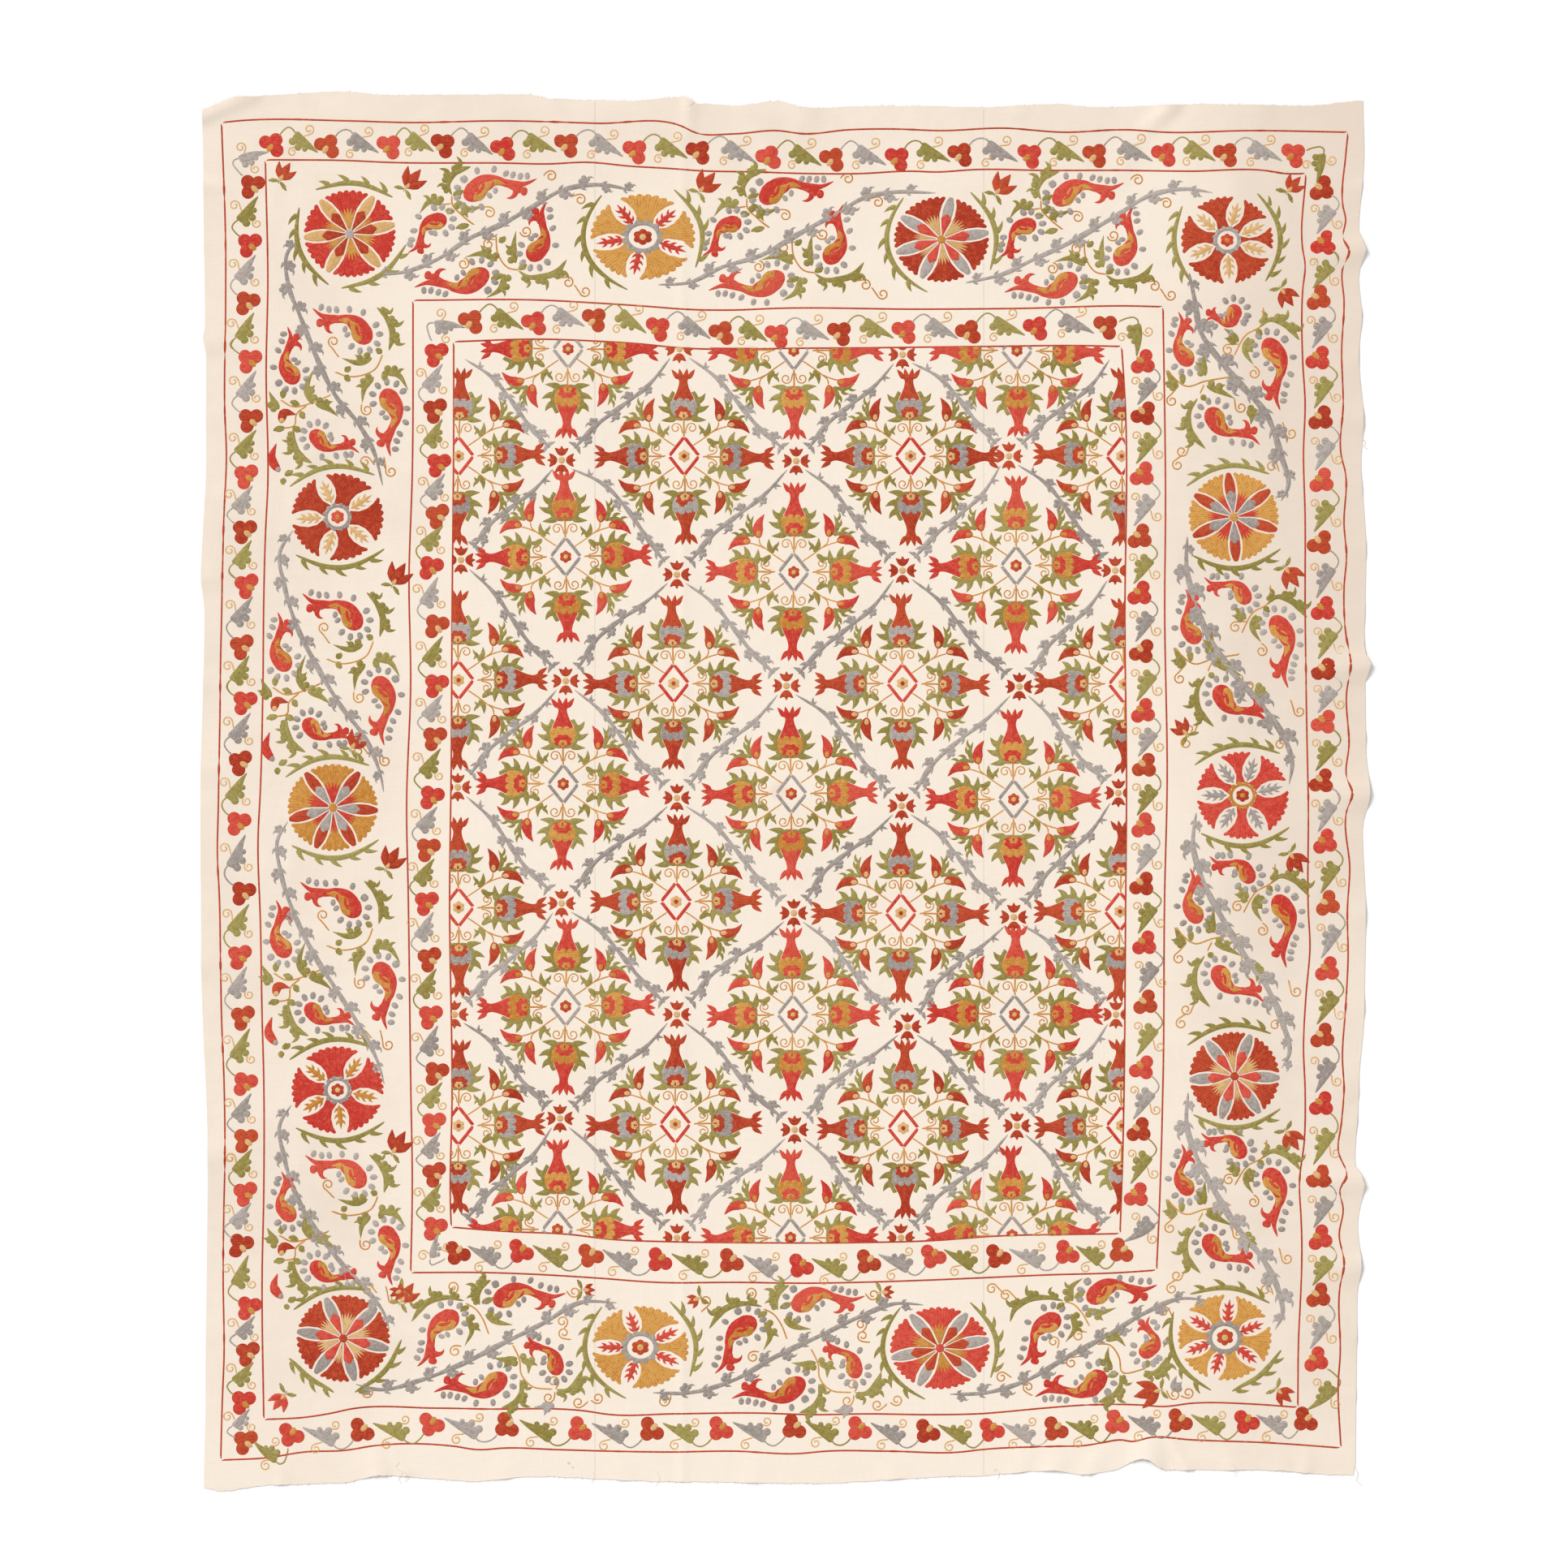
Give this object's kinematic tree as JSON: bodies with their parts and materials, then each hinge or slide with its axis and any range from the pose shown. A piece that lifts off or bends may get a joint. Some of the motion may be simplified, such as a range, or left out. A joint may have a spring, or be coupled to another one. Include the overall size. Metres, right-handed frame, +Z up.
{
  "type": "suzani embroidered textile",
  "caption": "Large rectangular cotton cover of loom widths sewn edge to edge, laid flat, with uneven edges and embroidered rosettes, vines and a flower lattice.",
  "frame": {"origin": "centre of the cover's bounding box, on the surface that it lies on", "axes": "+X to the right and +Y to the top of the pattern, with the cover face up; +Z up, out of the embroidered face"},
  "size_m": [2.163, 2.586, 0.0113],
  "materials": {
    "cotton_ground": "matte plain-woven unbleached cotton",
    "bright_red_thread": "soft sheen silk embroidery thread",
    "rust_thread": "soft sheen silk embroidery thread",
    "gold_thread": "soft sheen silk embroidery thread",
    "pale_gold_thread": "soft sheen silk embroidery thread",
    "olive_thread": "soft sheen silk embroidery thread",
    "grey_thread": "soft sheen silk embroidery thread"
  },
  "bodies": {
    "root": {"panel_left": "cotton_ground", "panel_middle": "cotton_ground", "panel_right": "cotton_ground"}
  },
  "joints": []
}
